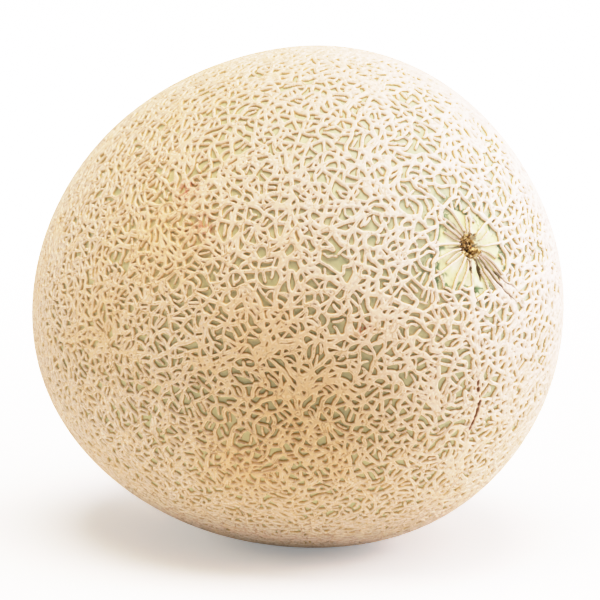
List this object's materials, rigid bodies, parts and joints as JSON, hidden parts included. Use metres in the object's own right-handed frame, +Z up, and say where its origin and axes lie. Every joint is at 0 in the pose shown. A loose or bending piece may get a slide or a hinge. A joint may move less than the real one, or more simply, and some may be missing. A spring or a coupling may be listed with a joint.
{
  "type": "whole cantaloupe melon",
  "caption": "Whole netted melon lying on its side on a small flat spot, with a round sunken stem scar at the raised end.",
  "frame": {"origin": "on the surface that the melon rests on, at the middle of its length and width", "axes": "+Z up; the stem axis lies in the XZ plane, and the stem scar is towards +X, raised 17 degrees above the horizon"},
  "size_m": [0.1706, 0.1492, 0.15],
  "materials": {
    "netted_rind": "matte cream cork net over dull grey-green skin"
  },
  "bodies": {
    "root": {"melon": "netted_rind"}
  },
  "joints": []
}
